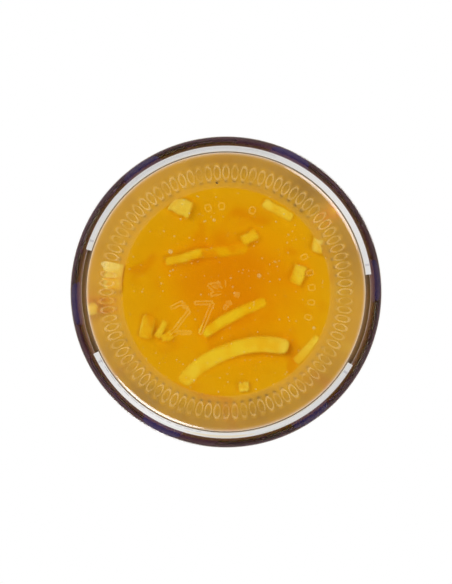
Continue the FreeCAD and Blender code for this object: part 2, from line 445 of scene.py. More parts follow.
def makePeelMaterial(name, pale, deep, pores):
    f = peelFinish
    material, nodes = newMaterial(name)
    place = nodes.add("ShaderNodeTexCoord").outputs["Object"]
    uneven = unevenOn(nodes, place, f["waves"], f["grain"], f["grainShare"])
    colour = nodes.mix(uneven.outputs["Mask"], pale, deep)
    cells = nodes.add("ShaderNodeTexVoronoi", None, Vector=place, Scale=pores)
    pitted = nodes.between(cells.outputs["Distance"], 0.0, f["pitReach"], f["pits"], 0.0)
    colour = nodes.mix(pitted, colour, deep)
    bump = bumpFrom(nodes, uneven.outputs["Height"], f["bumpStrength"], f["bumpHeight"])
    finishSolid(nodes, colour, f["roughness"], bump, f["specular"])
    return material


# dull and bright are the colours of the painted reflection at a bubble's edge
bubbleFinish = {"dull": paint(255, 236, 170), "bright": paint(255, 248, 215), "speckles": 400.0,
                "roughness": 0.15, "edgeBlend": 0.35, "middleShare": 0.15, "edgeShare": 0.9}


# see-through in the middle, with a pale edge painted as the reflection an air bubble shows
def makeBubbleMaterial():
    f = bubbleFinish
    material, nodes = newMaterial("airBubble")
    place = nodes.add("ShaderNodeTexCoord").outputs["Object"]
    edge = nodes.add("ShaderNodeLayerWeight", None, Blend=f["edgeBlend"])
    body = nodes.add("ShaderNodeBsdfPrincipled")
    nodes.feed(body, "Base Color", nodes.mix(noiseOn(nodes, place, f["speckles"]), f["dull"], f["bright"]))
    body.inputs["Roughness"].default_value = f["roughness"]
    through = nodes.add("ShaderNodeBsdfTransparent")
    share = nodes.between(edge.outputs["Facing"], 0.2, 0.75, f["middleShare"], f["edgeShare"])
    both = nodes.add("ShaderNodeMixShader", None, i0=share, i1=through, i2=body)
    nodes.add("ShaderNodeOutputMaterial", None, Surface=both)
    return material


lidFinish = {
    "navy": paint(50, 47, 106), "cloud": paint(58, 54, 116), "cloudShare": 0.25, "wearAndGlint": paint(88, 84, 136),
    "wornShare": 0.5, "scuffs": 420.0, "smoothest": 0.2, "roughest": 0.36, "specular": 0.25,
    "coat": 0.2, "coatRoughness": 0.06, "bumpStrength": 0.25, "bumpHeight": 0.05 * mm,
}


def makeLidMaterial():
    f = lidFinish
    material, nodes = newMaterial("navyLacquer")
    place = nodes.add("ShaderNodeTexCoord").outputs["Object"]
    uneven = unevenOn(nodes, place, 60.0, 1800.0, 0.25)
    clouded = nodes.between(uneven.outputs["Mask"], 0.0, 1.0, 0.0, f["cloudShare"])
    colour = nodes.mix(clouded, f["navy"], f["cloud"])
    scuffs = noiseOn(nodes, place, f["scuffs"], 5.0, 0.7, 2.0)
    colour = nodes.mix(nodes.between(scuffs, 0.68, 0.8, 0.0, f["wornShare"]), colour, f["wearAndGlint"])
    bump = bumpFrom(nodes, uneven.outputs["Height"], f["bumpStrength"], f["bumpHeight"])
    roughness = nodes.between(scuffs, 0.4, 0.8, f["smoothest"], f["roughest"])
    body = finishSolid(nodes, colour, roughness, bump, f["specular"])
    body.inputs["Coat Weight"].default_value = f["coat"]
    body.inputs["Coat Roughness"].default_value = f["coatRoughness"]
    return material


plumFinish = {"pale": paint(138, 96, 148), "deep": paint(118, 80, 128), "roughness": 0.3, "metallic": 0.3}


def makePlumMaterial():
    f = plumFinish
    material, nodes = newMaterial("plumLacquer")
    place = nodes.add("ShaderNodeTexCoord").outputs["Object"]
    uneven = unevenOn(nodes, place, 120.0, 1500.0, 0.3)
    body = finishSolid(nodes, nodes.mix(uneven.outputs["Mask"], f["pale"], f["deep"]), f["roughness"])
    body.inputs["Metallic"].default_value = f["metallic"]
    return material


# sizes in mm over the paper, with places counted from its middle and its bottom edge
labelPrint = {
    "bottom": 14.5, "top": 52.5, "radius": 37.1, "soft": 0.08, "roughness": 0.42, "fibres": 700.0,
    "paper": paint(248, 246, 244), "shade": paint(238, 236, 232), "shadeShare": 0.3,
    "ink": paint(84, 80, 96), "line": paint(206, 202, 206), "frameOuter": 2.2, "frameInner": 2.8,
    "gold": paint(246, 226, 184), "leaf": paint(214, 226, 204), "fruitUp": 24.0, "fruit": 9.2,
    "rindOuter": 7.9, "rindInner": 7.2, "leafAcross": 13.5, "leafUp": 29.5, "leafWide": 4.6, "leafTall": 1.9,
}
# the front's column of short bars, then the back's ragged hairlines: middle, level, half across, half up
frontBars = tuple((38 - 2.7 * n, 6.2, 0.7 + 0.25 * (n % 3), 1.2) for n in range(13))
backBars = tuple((-12 + 2.5 * (n % 2), 14 + 3 * n, 22 - 2.5 * (n % 2), 0.2) for n in range(6))


# white paper with a frame line, bars where words would stand and, in front, a pale fruit with two leaves
def makeLabelMaterial(name, middle, halfWidth, withFruit):
    f = labelPrint
    material, nodes = newMaterial(name)
    place = nodes.add("ShaderNodeTexCoord").outputs["Object"]
    turned = nodes.add("ShaderNodeMapping", None, Vector=place)
    turned.inputs["Rotation"].default_value = (0, 0, math.radians(-middle))
    split = nodes.add("ShaderNodeSeparateXYZ", None, Vector=turned)
    angle = nodes.maths("ARCTAN2", split.outputs[1], split.outputs[0])
    along = nodes.maths("MULTIPLY", angle, f["radius"] * mm)
    up = nodes.maths("SUBTRACT", split.outputs[2], f["bottom"] * mm)
    half = (f["top"] - f["bottom"]) / 2

    def within(value, centre, size):
        distance = nodes.maths("ABSOLUTE", nodes.maths("SUBTRACT", value, centre * mm))
        return nodes.between(distance, (size - f["soft"]) * mm, (size + f["soft"]) * mm, 1.0, 0.0)

    def box(centre, level, halfAlong, halfUp):
        return nodes.maths("MULTIPLY", within(along, centre, halfAlong), within(up, level, halfUp))

    def disc(centre, level, wide, tall):
        across = nodes.maths("DIVIDE", nodes.maths("SUBTRACT", along, centre * mm), wide * mm)
        rise = nodes.maths("DIVIDE", nodes.maths("SUBTRACT", up, level * mm), tall * mm)
        return nodes.between(nodes.reach(across, rise), 0.98, 1.02, 1.0, 0.0)

    def frame(edge):
        return box(0, half, halfWidth - edge, half - edge)

    fibres = noiseOn(nodes, place, f["fibres"], 5.0, 0.7)
    colour = nodes.mix(nodes.between(fibres, 0.3, 0.7, 0.0, f["shadeShare"]), f["paper"], f["shade"])
    border = nodes.maths("SUBTRACT", frame(f["frameOuter"]), frame(f["frameInner"]))
    colour = nodes.mix(border, colour, f["line"])
    if withFruit:
        colour = nodes.mix(disc(0, f["fruitUp"], f["fruit"], f["fruit"]), colour, f["gold"])
        rings = [disc(0, f["fruitUp"], f[size], f[size]) for size in ("rindOuter", "rindInner")]
        colour = nodes.mix(nodes.maths("SUBTRACT", *rings), colour, f["paper"])
        for side in (-1, 1):
            leaf = disc(side * f["leafAcross"], f["leafUp"], f["leafWide"], f["leafTall"])
            colour = nodes.mix(leaf, colour, f["leaf"])
    for bar in frontBars if withFruit else backBars:
        colour = nodes.mix(box(*bar), colour, f["ink"])
    finishSolid(nodes, colour, f["roughness"], bumpFrom(nodes, fibres, 0.3, 0.03 * mm))
    return material


clearGlass = makeGlassMaterial("clearGlass")
wetGlass = makeGlassMaterial("wetGlass", wet=True)
# these two glasses carry painted highlights: on the knurls and over the bearing ring, and on the slopes of the
# mould marks
knurlGlintGlass = makeGlassMaterial("knurlGlintGlass", paintGlint=knurlGlints)
markGlintGlass = makeGlassMaterial("markGlintGlass", paintGlint=markGlints)
orangeJelly = makeJellyMaterial()
orangePulp = makePulpMaterial()
pith = makePeelMaterial("peelPith", paint(255, 222, 120), paint(252, 200, 70), 900.0)
zest = makePeelMaterial("peelZest", paint(250, 196, 50), paint(244, 164, 20), 700.0)
airBubble = makeBubbleMaterial()
navyLacquer = makeLidMaterial()
plumLacquer = makePlumMaterial()
print("materials made")


# sizes in mm and degrees; radii are from the jar's axis
glassShape = {
    "bearing": 29.7, "heel": 5.2, "stipple": 0.25, "taper": 4.0, "bodyTop": 78.5, "wall": 2.6,
    "pushUp": 2.4, "pushUpEdge": 1.85, "recessSlope": 40.0, "floor": 5.6, "floorFall": 0.4,
    "innerCorner": 7.0, "neck": 39.0, "mouth": 36.9, "waist": 39.2, "waistBottom": 82.6,
    "beadBottom": 83.5, "bead": 42.0, "beadHeight": 3.8, "beadRound": 0.45, "lip": 98.0,
    "wallFoot": 32.0, "wallRings": (30, 55), "neckRings": 88.4, "neckPitch": 0.68,
    "steps": 672, "stipples": 84, "stippleReach": 21.0, "stippleSoft": 0.85,
}
# rings of the pushed-up base, close together where the numerals and the dots are pressed
baseRings = [0.0, 1.2, 2.2] + [3.0 + 0.5 * n for n in range(27)]
baseRings += [17.6, 19.0, 20.0] + [20.4 + 0.4 * n for n in range(6)] + [23.2]
jellyShape = {"overlap": 0.15, "level": 88.0, "flat": 30.0, "rise": 34.5, "riseHeight": 0.05,
              "riseRound": 6.0, "meniscus": 0.8, "steps": 224}
lean = math.radians(glassShape["taper"])
heelCorner = glassShape["bearing"] + glassShape["heel"] * math.tan((math.pi / 2 - lean) / 2)


def wallRadius(height):
    return heelCorner + (height - glassShape["stipple"]) * math.tan(lean)


def glassOutside():
    g = glassShape
    slope = math.radians(g["recessSlope"])
    recessCorner = g["bearing"] - g["heel"] * math.tan(slope / 2)
    recessEdge = recessCorner - (g["pushUpEdge"] - g["stipple"]) / math.tan(slope)
    fall = (g["pushUpEdge"] - g["pushUp"]) / recessEdge
    base = [(r, g["pushUp"] + fall * r) for r in baseRings]
    beadRound = g["beadHeight"] * g["beadRound"]
    beadTop = g["beadBottom"] + g["beadHeight"]
    return base + [
        (recessEdge, g["pushUpEdge"], 1.2, 3),
        (recessCorner, g["stipple"], g["heel"], 10),
        (heelCorner, g["stipple"], g["heel"], 18),
        *((wallRadius(z), z) for z in g["wallRings"]),
        (wallRadius(g["bodyTop"]), g["bodyTop"], 3.0, 3),
        (g["waist"], g["waistBottom"], 0.8, 2),
        (g["waist"], g["beadBottom"], 0.3, 2),
        (g["bead"], g["beadBottom"], beadRound, 6),
        (g["bead"], beadTop, beadRound, 6),
        (g["neck"], beadTop, 0.6, 3),
    ] + [(g["neck"], g["neckRings"] + g["neckPitch"] * n) for n in range(10)] + [
        (g["neck"], g["lip"], 0.7, 4),
        (g["mouth"], g["lip"], 0.7, 4),
    ]


def cavityOutline(grow):
    g = glassShape
    inset = g["wall"] / math.cos(lean) - grow
    return [
        (g["mouth"] + grow, g["waistBottom"], 3.0, 4),
        (wallRadius(g["bodyTop"]) - inset, g["bodyTop"], 3.0, 3),
        *((wallRadius(z) - inset, z) for z in g["wallRings"][::-1]),
        (wallRadius(g["floor"]) - inset, g["floor"] - g["floorFall"] - grow, g["innerCorner"], 12),
        (20.0, g["floor"] - g["floorFall"] * 0.6 - grow),
        (10.0, g["floor"] - g["floorFall"] * 0.3 - grow),
        (0.0, g["floor"] - grow),
    ]


# plain mould numbers as strokes in a unit-high cell, u to the right and v up as read from below
numeralStrokes = {
    "1": (((0.3, 0.0), (0.3, 1.0)),),
    "2": (((0.0, 0.84), (0.3, 1.0)), ((0.3, 1.0), (0.58, 0.74)), ((0.58, 0.74), (0.0, 0.0)),
          ((0.0, 0.0), (0.6, 0.0))),
    "4": (((0.42, 0.0), (0.42, 1.0)), ((0.42, 1.0), (0.0, 0.32)), ((0.0, 0.32), (0.6, 0.32))),
    "7": (((0.0, 1.0), (0.55, 1.0)), ((0.55, 1.0), (0.15, 0.0))),
}
baseMarks = (("2", -11.2, -6.4, 7.4, 0.0), ("7", -5.2, -6.4, 7.4, 0.0),
             ("4", -2.4, 1.2, 4.8, -45.0), ("1", 1.4, -2.2, 4.8, -45.0))
dotTurns = (-17, -7, 3, 13, 24, 72, 93, 102)  # seen from below, from the right anticlockwise
markShape = {"half": 0.2, "depth": 0.26, "soft": 0.5, "reach": 17.0,
             "dotRing": 21.4, "dotHalf": 0.24, "dotDepth": 0.3, "dotSoft": 0.75}


def markStrokes():
    strokes = []
    for numeral, uMiddle, vMiddle, height, turn in baseMarks:
        across = Vector((math.cos(math.radians(turn)), math.sin(math.radians(turn))))
        up = Vector((-across.y, across.x))
        for ends in numeralStrokes[numeral]:
            spots = [Vector((uMiddle, vMiddle)) + across * (u - 0.3) * height + up * (v - 0.5) * height
                     for u, v in ends]
            strokes.append([Vector((-s.x, s.y)) * mm for s in spots])
    return strokes


def offStroke(spot, stroke):
    start, end = stroke
    along = end - start
    share = max(0.0, min(1.0, (spot - start).dot(along) / along.length_squared))
    return (spot - start - along * share).length


def pressStipples(piece):
    g = glassShape
    reach = g["heel"] * mm * math.sin(math.radians(g["stippleReach"]))
    pitch = 360 / g["stipples"]

    # one column of vertices to each knurl
    def onCrest(spot):
        if spot.z > 1.0 * mm or abs(awayFromAxis(spot) - g["bearing"] * mm) > reach:
            return False
        turn = math.degrees(math.atan2(spot.y, spot.x)) / pitch
        return abs(turn - round(turn)) < 0.02

    pickVertices(onCrest)
    pushSoftly((0, 0, -g["stipple"] * mm), g["stippleSoft"] * mm)


def pressMarks(piece):
    m = markShape
    strokes = markStrokes()
    turns = [math.radians(turn) for turn in dotTurns]
    dots = [Vector((-math.cos(turn), math.sin(turn))) * m["dotRing"] * mm for turn in turns]
    underside = (glassShape["pushUp"] + 0.3) * mm

    def onStroke(spot):
        if spot.z > underside or awayFromAxis(spot) > m["reach"] * mm:
            return False
        return min(offStroke(spot.xy, stroke) for stroke in strokes) < m["half"] * mm

    def onDot(spot):
        return spot.z < underside and min((spot.xy - dot).length for dot in dots) < m["dotHalf"] * mm

    pickVertices(onStroke)
    pushSoftly((0, 0, -m["depth"] * mm), m["soft"] * mm)
    pickVertices(onDot)
    pushSoftly((0, 0, -m["dotDepth"] * mm), m["dotSoft"] * mm, "SPHERE")


threadShape = {"height": 91.9, "lead": 3.6, "half": 21.0, "stand": 1.35, "turn": 16.0, "lugs": -4.5,
               "starts": 6, "core": 0.36, "soft": 1.3}


def pressThreads(piece):
    t = threadShape
    climb = math.tan(math.radians(t["lead"])) * math.radians(1) * glassShape["neck"]

    def onRidge(spot):
        if abs(awayFromAxis(spot) - glassShape["neck"] * mm) > 0.3 * mm or spot.z < jellyShape["level"] * mm:
            return False
        for n in range(t["starts"]):
            turn = turnFrom(spot, t["lugs"] + t["turn"] + 360 / t["starts"] * n)
            if abs(turn) < t["half"] and abs(spot.z - (t["height"] + climb * turn) * mm) < t["core"] * mm:
                return True
        return False

    pickVertices(onRidge)
    grow = 1 + t["stand"] / glassShape["neck"]
    bpy.ops.transform.resize(value=(grow, grow, 1), center_override=(0, 0, 0), use_proportional_edit=True,
                             proportional_edit_falloff="SPHERE", proportional_size=t["soft"] * mm)


glassZones = {"ringTop": 1.2, "ringHalf": 3.2, "marksReach": 23.0, "marksTop": 0.2, "steepest": 0.955,
              "wetBottom": 4.6, "wetMargin": 0.9, "wallMargin": 0.6}


# which glass a face has: 0 clear, 1 wetted by the jelly, 2 bearing ring with painted highlights and a painted
# reflection, 3 slopes of the marks with painted highlights
def glassKind(face):
    g = glassShape
    z = glassZones
    away = awayFromAxis(face.center) / mm
    height = face.center.z / mm
    if height < z["ringTop"] and abs(away - g["bearing"]) < z["ringHalf"]:
        return 2
    if height < g["pushUp"] + z["marksTop"] and away < z["marksReach"] and abs(face.normal.z) < z["steepest"]:
        return 3
    wall = wallRadius(min(height, g["bodyTop"])) - g["wall"] - z["wallMargin"]
    inner = min(wall, g["mouth"]) + z["wetMargin"]
    return int(away < inner and z["wetBottom"] < height < jellyShape["level"])


def makeGlass():
    outline = roundedOutline(glassOutside() + cavityOutline(0.0))
    piece = spinOutline("clearJar", outline, glassShape["steps"])
    editPiece(piece)
    pressStipples(piece)
    pressMarks(piece)
    pressThreads(piece)
    smooth(piece, 50)
    for material in (clearGlass, wetGlass, knurlGlintGlass, markGlintGlass):
        piece.data.materials.append(material)
    for face in piece.data.polygons:
        face.material_index = glassKind(face)
    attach(piece, "root")
    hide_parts("jar_glass")
    print("glass made:", len(piece.data.polygons), "faces")


makeGlass()


# depths are counted up from the glass floor, or down from the level
pulpShape = {"centreDepth": 6.5, "edgeDepth": 1.9, "domeRadius": 27.0, "side": 1.7, "topDepth": 1.8,
             "topRound": 3.0, "steps": 240, "lumps": (9.0, 1.2), "crumbs": (2.6, 0.45)}


def makeJelly():
    j = jellyShape
    mouth = glassShape["mouth"] + j["overlap"]
    corners = [
        (0.0, j["level"]),
        (j["flat"], j["level"]),
        (j["rise"], j["level"] + j["riseHeight"], j["riseRound"], 4),
        (mouth, j["level"] + j["meniscus"]),
    ] + cavityOutline(j["overlap"])
    piece = spinOutline("jelly", roundedOutline(corners), j["steps"])
    smooth(piece, 50)
    piece.data.materials.append(orangeJelly)
    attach(piece, "root")
    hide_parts("marmalade")


# how deep the pulp starts above the glass floor, in mm
def pulpDepth(u, v):
    p = pulpShape
    share = min(1.0, (u * u + v * v) / p["domeRadius"] ** 2)
    return p["centreDepth"] - (p["centreDepth"] - p["edgeDepth"]) * share


def makePulp():
    p = pulpShape
    floor = glassShape["floor"]
    top = jellyShape["level"] - p["topDepth"]
    corner = glassShape["innerCorner"] - p["side"]
    wall = glassShape["wall"] / math.cos(lean) + p["side"]
    corners = [(r, floor + pulpDepth(r, 0)) for r in range(0, 25, 2)]
    edge = floor - glassShape["floorFall"] + p["edgeDepth"] * 0.9
    corners += [(wallRadius(floor) - wall, edge, corner, 10)]
    corners += [(wallRadius(z) - wall, z) for z in range(20, 76, 4)]
    corners += [(glassShape["mouth"] - p["side"], top, p["topRound"], 6)]
    corners += [(r, top) for r in range(30, 0, -3)] + [(0.0, top)]
    piece = spinOutline("pulp", roundedOutline(corners), p["steps"])
    for name in ("lumps", "crumbs"):
        size, strength = p[name]
        texture = bpy.data.textures.new(name, "CLOUDS")
        texture.noise_scale = size * mm
        texture.noise_depth = 2
        applyModifier(piece, "DISPLACE", texture=texture, texture_coords="LOCAL", mid_level=0.5,
                      strength=strength * mm)
    smooth(piece, 80)
    piece.data.materials.append(orangePulp)
    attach(piece, "root")


makeJelly()
makePulp()
print("marmalade made")


shredShape = {"slices": 8, "short": 7.0, "ruffle": 0.32, "shortRuffle": 0.5}


# one shred of peel, lying along X with its zest upwards, cut square and a little bent
def makeShred(length, width, thick, bend, seed):
    s = shredShape
    letGo()
    bpy.ops.mesh.primitive_cube_add(size=1)
    shred = bpy.context.object
    shred.scale = (length * mm, width * mm, thick * mm)
    settle(shred)
    editPiece(shred)
    bpy.ops.mesh.select_all(action="SELECT")
    bpy.ops.mesh.subdivide(number_cuts=1)  # halves it, so the middle slice is cut already
    for cut in range(1, s["slices"]):
        if cut != s["slices"] // 2:
            bpy.ops.mesh.select_all(action="SELECT")
            bpy.ops.mesh.bisect(plane_co=((cut / s["slices"] - 0.5) * length * mm, 0, 0), plane_no=(1, 0, 0))
    bpy.ops.mesh.select_all(action="SELECT")
    ruffle = s["shortRuffle"] if length < s["short"] else s["ruffle"]
    bpy.ops.transform.vertex_random(offset=ruffle * thick * mm, seed=seed)
    bpy.ops.mesh.select_all(action="SELECT")
    bpy.ops.mesh.normals_make_consistent(inside=False)
    bpy.ops.object.mode_set(mode="OBJECT")
    shred.data.materials.append(pith)
    shred.data.materials.append(zest)
    for face in shred.data.polygons:
        face.material_index = int(face.normal.z > 0.7)
    applyModifier(shred, "SIMPLE_DEFORM", deform_method="BEND", deform_axis="Z", angle=math.radians(bend))
    applyModifier(shred, "SUBSURF", levels=1, render_levels=1)
    bpy.ops.object.shade_smooth()
    return shred


# a copy with its own mesh, put in place
def placeCopy(model, spot, turn):
    pickOnly(model)
    bpy.ops.object.duplicate(linked=False)
    copy = bpy.context.object
    copy.location = spot
    copy.rotation_euler = turn
    return copy


# where a spot seen from below lies, u to the right and v up, in mm, at a depth above the glass floor
def seenFromBelow(u, v, depth):
    fall = glassShape["floorFall"] * min(1.0, math.hypot(u, v) / glassShape["wallFoot"])
    return Vector((-u, v, glassShape["floor"] - fall + depth)) * mm


# a spot at a turn round the axis, at a radius and a height in mm
def spotAround(turn, radius, height):
    return Vector((math.cos(turn) * radius, math.sin(turn) * radius, height)) * mm


# lets a shred follow the domed pulp from the depth at its middle
def drape(shred, middleDepth):
    for vert in shred.data.vertices:
        vert.co.z += (pulpDepth(vert.co.x / mm, vert.co.y / mm) - middleDepth) * mm


# (u, v, stand off the pulp, length, width, thickness, turn, bend, tilt) as seen from below
baseShreds = (
    (-10.6, 8.6, 0.9, 9.6, 2.3, 1.3, 15, 14, 3),
    (-0.6, 10.2, 0.1, 14.0, 2.4, 1.2, 6, -10, 4),
    (1.9, -6.0, 0.5, 18.0, 2.7, 1.4, 28, -16, 3),
    (1.0, -14.6, 0.7, 30.0, 4.0, 1.5, 19, -62, -4),
    (6.0, 13.8, 0.8, 4.2, 2.5, 1.3, 28, 5, 4),
    (-11.4, 21.5, 0.9, 5.8, 4.4, 1.6, -20, 4, 0),
    (23.4, 11.8, 0.6, 4.2, 3.2, 1.4, 80, 4, 5),
    (18.2, 4.4, 0.6, 4.8, 3.3, 1.4, 70, 6, -5),
    (-19.8, -8.8, 0.8, 5.8, 3.2, 1.5, 76, 6, 0),
    (-16.2, -9.4, 0.5, 4.6, 1.6, 1.2, 60, 3, 5),
    (-14.8, -11.2, 0.4, 3.2, 2.0, 1.2, 20, 3, 5),
    (4.6, -23.8, 0.6, 2.8, 2.4, 1.2, 10, 3, 0),
    (-28.4, 5.4, 0.3, 3.8, 3.0, 1.4, 84, 8, 0),
    (-28.6, 2.2, 0.2, 3.6, 3.2, 1.4, 100, 6, 0),
    (13.0, 20.5, 0.0, 8.5, 2.6, 1.3, -28, 10, 4),
    (20.5, -14.5, 0.0, 9.0, 2.4, 1.3, 48, 10, 4),
)
zestOutwards = (1, 8, 13)
shredMix = {
    "seed": 11, "models": 6, "length": (9, 17), "width": (2.0, 3.6), "thick": (1.1, 1.5), "bend": (-30, 30),
    "sink": 0.35, "wall": 74, "wallBottom": 14, "wallRise": 66, "wallDepth": (0.9, 2.9), "wallLean": (-70, 70),
    "top": 18, "topReach": 31, "topDepth": (1.4, 2.6), "topTilt": (-5, 5),
}
goldenShare = 0.381966  # of a turn, so that neighbours never line up


def makeShreds():
    m = shredMix
    draw = random.Random(m["seed"])
    shreds = []
    for n, (u, v, stand, length, width, thick, turn, bend, tilt) in enumerate(baseShreds):
        shred = makeShred(length, width, thick, bend, n + 1)
        shred.location = seenFromBelow(u, v, pulpDepth(u, v) - stand + m["sink"])
        over = 180 if n in zestOutwards else 0
        shred.rotation_euler = [math.radians(degrees) for degrees in (over, tilt, -turn)]
        settle(shred)
        drape(shred, pulpDepth(u, v))
        shreds.append(shred)
    models = [makeShred(draw.uniform(*m["length"]), draw.uniform(*m["width"]), draw.uniform(*m["thick"]),
                        draw.uniform(*m["bend"]), 40 + n) for n in range(m["models"])]
    for n in range(m["wall"]):
        around = fullTurn * (n * goldenShare % 1) + draw.uniform(-0.1, 0.1)
        height = m["wallBottom"] + m["wallRise"] * (n + 0.5) / m["wall"]
        away = wallRadius(height) - glassShape["wall"] - draw.uniform(*m["wallDepth"])
        leanUp = math.radians(draw.uniform(*m["wallLean"]))
        turn = Euler((math.pi / 2, leanUp, around + math.pi / 2))
        shreds.append(placeCopy(models[n % m["models"]], spotAround(around, away, height), turn))
    for n in range(m["top"]):
        around = draw.uniform(0, fullTurn)
        away = m["topReach"] * math.sqrt((n + 0.5) / m["top"])
        height = jellyShape["level"] - draw.uniform(*m["topDepth"])
        turn = Euler((0, math.radians(draw.uniform(*m["topTilt"])), draw.uniform(0, math.pi)))
        shreds.append(placeCopy(models[n % m["models"]], spotAround(around, away, height), turn))
    for model in models:
        bpy.data.objects.remove(model, do_unlink=True)
    peel = joinPieces(shreds, "peelShreds")
    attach(peel, "root")
    print("peel made:", len(peel.data.polygons), "faces")


makeShreds()

bubbleMix = {"seed": 5, "radius": (0.07, 0.26), "base": 260, "baseReach": 27.5, "baseDepth": (-0.14, 0.25),
             "wall": 180, "wallHeight": (12, 86), "wallDepth": (0.5, 2.4)}
# (u, v, depth, radius) as seen from below
largeBubbles = ((-13.9, 10.1, 0.3, 0.6), (8.3, 4.1, 0.3, 0.55),
                (22.0, -9.0, 0.2, 0.45), (-3.0, 18.0, 0.2, 0.42))


def makeBubbles():
    m = bubbleMix
    draw = random.Random(m["seed"])
    letGo()
    bpy.ops.mesh.primitive_ico_sphere_add(subdivisions=2, radius=1.0)
    model = bpy.context.object
    bpy.ops.object.shade_smooth()
    bubbles = []

    def blow(spot, radius):
        bubble = placeCopy(model, spot, Euler((draw.uniform(0, 3), draw.uniform(0, 3), 0)))
        bubble.scale = (radius * mm, radius * mm, radius * mm)
        bubbles.append(bubble)

    for u, v, depth, radius in largeBubbles:
        blow(seenFromBelow(u, v, depth), radius)
    for _ in range(m["base"]):
        around = draw.uniform(0, fullTurn)
        away = m["baseReach"] * math.sqrt(draw.random())
        spot = seenFromBelow(math.cos(around) * away, math.sin(around) * away, draw.uniform(*m["baseDepth"]))
        blow(spot, draw.uniform(*m["radius"]))
    for _ in range(m["wall"]):
        around = draw.uniform(0, fullTurn)
        height = draw.uniform(*m["wallHeight"])
        inner = min(wallRadius(height), glassShape["neck"]) - glassShape["wall"]
        blow(spotAround(around, inner - draw.uniform(*m["wallDepth"]), height), draw.uniform(*m["radius"]))
    bpy.data.objects.remove(model, do_unlink=True)
    piece = joinPieces(bubbles, "airBubbles")
    piece.data.materials.append(airBubble)
    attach(piece, "root")
    print("bubbles made:", len(piece.data.polygons), "faces")


makeBubbles()


speckShape = {"place": (-2.3, 28.2, 0.3), "radius": 0.26, "ruffle": 0.07,
              "pale": paint(60, 36, 20), "deep": paint(34, 20, 14), "pores": 2500.0}


# one dark crumb of burnt peel against the glass
def makeSpeck():
    s = speckShape
    letGo()
    spot = seenFromBelow(*s["place"])
    bpy.ops.mesh.primitive_ico_sphere_add(subdivisions=2, radius=s["radius"] * mm, location=spot)
    speck = bpy.context.object
    speck.name = speck.data.name = "darkSpeck"
    editPiece(speck)
    bpy.ops.mesh.select_all(action="SELECT")
    bpy.ops.transform.vertex_random(offset=s["ruffle"] * mm, seed=3)
    bpy.ops.object.mode_set(mode="OBJECT")
    bpy.ops.object.shade_smooth()
    settle(speck)
    speck.data.materials.append(makePeelMaterial("burntPeel", s["pale"], s["deep"], s["pores"]))
    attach(speck, "root")


makeSpeck()


lidShape = {
    "radius": 41.35, "bottom": 88.1, "lip": 98.0, "sheet": 0.25, "corner": 1.1, "curl": 0.5,
    "channel": 4.75, "drop": 0.9, "step": 1.2, "stepRound": 0.8, "button": 14.0, "rise": 0.45,
    "buttonSlope": 2.0, "buttonRound": 1.5, "steps": 336, "lugs": 6, "lugTurn": -4.5, "lugInner": 39.65,
    "lugGap": 0.05, "lugLength": 15.0, "lugHeight": 1.3, "lugEdge": 0.35, "skirtTop": 1.4, "insideFrom": 3.0,
}


def lidOutline():
    s = lidShape
    top = s["lip"] + s["sheet"]
    panel = top - s["drop"]
    inner = s["radius"] - s["channel"]

    def skin(inset):
        return [
            (0.0, panel + s["rise"] - inset),
            (s["button"], panel + s["rise"] - inset, s["buttonRound"], 4),
            (s["button"] + s["buttonSlope"], panel - inset, s["buttonRound"], 4),
            (inner - s["step"], panel - inset, s["stepRound"], 5),
            (inner, top - inset, s["stepRound"], 5),
            (s["radius"] - inset, top - inset, s["corner"] - inset, 7),
        ]

    turns = [math.radians(degrees) for degrees in range(0, -271, -18)]
    curl = [(s["radius"] + s["curl"] * (math.cos(turn) - 1), s["bottom"] + s["curl"] * (math.sin(turn) + 1))
            for turn in turns]
    hem = (s["radius"] - s["sheet"], s["bottom"] + 2 * s["curl"])
    return skin(0.0) + curl + [hem] + skin(s["sheet"])[::-1]


def makeLug(turn):
    s = lidShape
    outer = s["radius"] - s["lugGap"]
    letGo()
    bpy.ops.mesh.primitive_cylinder_add(vertices=64, radius=0.5 * mm, depth=s["lugHeight"] * mm)
    lug = bpy.context.object
    lug.scale = (outer - s["lugInner"], s["lugLength"], 1)
    settle(lug)
    applyModifier(lug, "BEVEL", width=s["lugEdge"] * mm, segments=4, limit_method="ANGLE")
    lug.location = spotAround(turn, (s["lugInner"] + outer) / 2, s["bottom"] + s["lugHeight"] / 2)
    lug.rotation_euler.z = turn
    smooth(lug, 50)
    return lug


# the inside of the lid, panel and skirt, is lacquered plum
def isInsideLid(face):
    s = lidShape
    spot = face.center
    height = spot.z / mm
    if face.normal.z < -0.3 and height > s["bottom"] + s["insideFrom"]:
        return True
    facesAxis = face.normal.x * spot.x + face.normal.y * spot.y < 0
    onSkirt = s["bottom"] + 2 * s["curl"] < height < s["lip"] + s["sheet"] - s["skirtTop"]
    return facesAxis and onSkirt and awayFromAxis(spot) > (s["radius"] - 1) * mm


def makeLid():
    s = lidShape
    shell = spinOutline("navyLid", roundedOutline(lidOutline()), s["steps"])
    smooth(shell, 50)
    lugs = [makeLug(math.radians(s["lugTurn"] + 360 / s["lugs"] * n)) for n in range(s["lugs"])]
    lid = joinPieces([shell] + lugs, "navyLid")
    lid.data.materials.append(navyLacquer)
    lid.data.materials.append(plumLacquer)
    for face in lid.data.polygons:
        face.material_index = int(isInsideLid(face))
    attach(lid, "root")
    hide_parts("lid")
    print("lid made:", len(lid.data.polygons), "faces")


makeLid()


labelShape = {"sheet": 0.12, "gap": 0.01, "steps": 180,
              "front": {"node": "label_front", "middle": -87.5, "arc": 125.0},
              "back": {"node": "label_back", "middle": 95.0, "arc": 156.0}}


